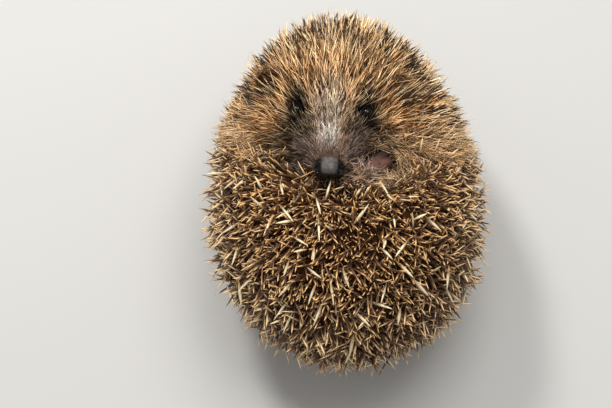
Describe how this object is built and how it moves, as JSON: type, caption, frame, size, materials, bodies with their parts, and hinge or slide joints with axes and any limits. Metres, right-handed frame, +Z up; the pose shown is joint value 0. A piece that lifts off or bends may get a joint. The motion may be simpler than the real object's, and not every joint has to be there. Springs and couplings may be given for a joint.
{
  "type": "hedgehog model",
  "caption": "Life-size still model of a hedgehog curled on its back, face up between its quills, with a hind foot tucked beside the muzzle.",
  "frame": {"origin": "middle of the box at floor level, under the curled body", "axes": "+Z up, +Y towards the nape, +X to the animal's left"},
  "size_m": [0.1192, 0.1578, 0.1028],
  "materials": {
    "quills": "banded cream and dark brown quills",
    "fur": "short golden-brown fur",
    "muzzle_fur": "very short grey-brown fur",
    "nose": "moist black skin",
    "eye": "wet black",
    "ear": "thin brown skin with short hair",
    "foot": "bare pinkish-grey skin"
  },
  "bodies": {
    "root": {"muzzle": "muzzle_fur", "head": "fur", "neck": "quills", "shoulders": "quills", "back": "quills", "rump": "quills", "nose": "nose", "eye_left": "eye", "eye_right": "eye", "ear_left": "ear", "ear_right": "ear", "hind_foot_left": "foot", "hind_leg_left": "fur"}
  },
  "joints": []
}
